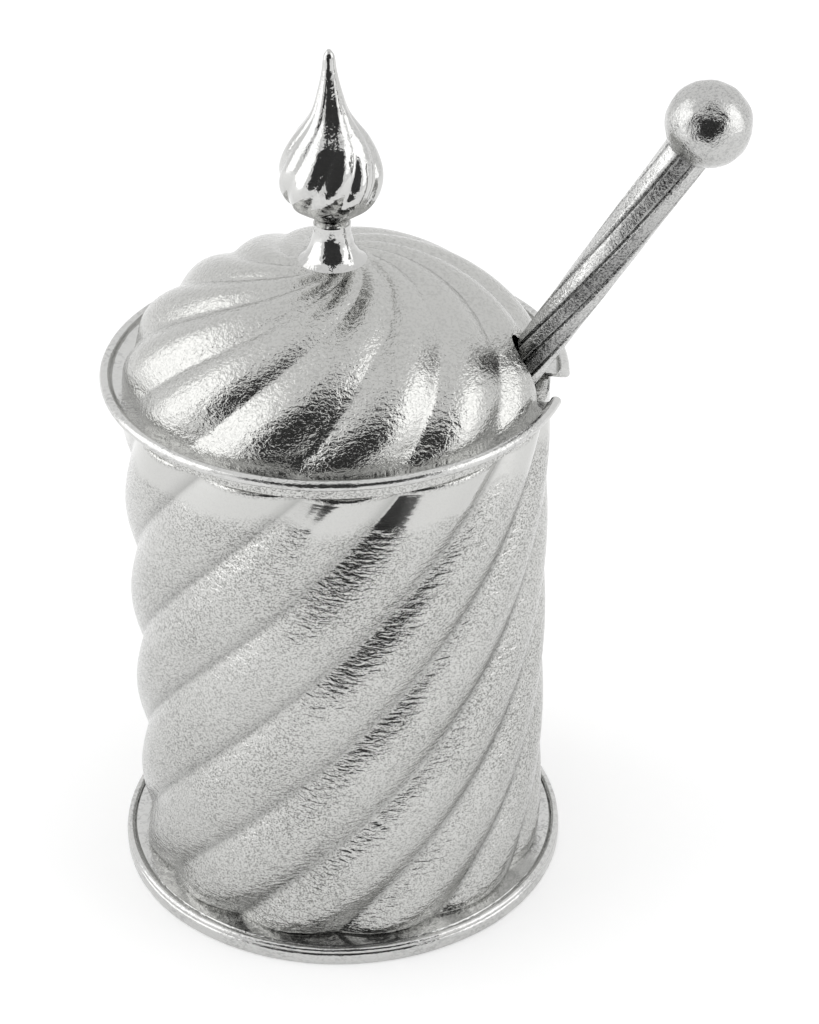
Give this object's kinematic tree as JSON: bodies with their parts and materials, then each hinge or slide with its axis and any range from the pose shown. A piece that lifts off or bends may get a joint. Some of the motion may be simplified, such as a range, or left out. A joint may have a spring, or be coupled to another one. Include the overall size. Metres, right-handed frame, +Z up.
{
  "type": "honey jar",
  "caption": "Round metal honey jar with twisted flutes, a lift-off domed lid with a flame finial, and a ball-ended dipper leaning out through a slot in the lid.",
  "frame": {"origin": "middle of the flat underside, where the jar stands", "axes": "+Z up along the jar's axis to the finial, +X to the right of the usual view, towards the side where the dipper leans out, +Y away from the viewer"},
  "size_m": [0.1008, 0.076, 0.147],
  "materials": {
    "grained_pewter": "satin light-grey pewter with a fine pebbled grain",
    "polished_pewter": "bright polished pewter",
    "plain_pewter": "plain smooth satin pewter, as cast"
  },
  "bodies": {
    "jar": {"base_plate": "plain_pewter", "foot_ring": "grained_pewter", "jar_wall": "grained_pewter", "mouth_ring": "grained_pewter"},
    "lid": {"lid_flange": "grained_pewter", "lid_collar": "plain_pewter", "lid_dome": "grained_pewter", "finial_stem": "polished_pewter", "finial_flame": "polished_pewter", "finial_washer": "plain_pewter", "finial_screw": "plain_pewter"},
    "dipper": {"dipper_ball": "grained_pewter", "dipper_shaft": "grained_pewter", "dipper_head": "plain_pewter"}
  },
  "joints": [
    {"name": "lid_lift", "type": "slide", "parent": "jar", "child": "lid", "axis": [0, 0, 1], "range_m": [0, 0.065]},
    {"name": "dipper_pull", "type": "slide", "parent": "jar", "child": "dipper", "axis": [0.5131, -0.1147, 0.8506], "range_m": [0, 0.07]}
  ]
}
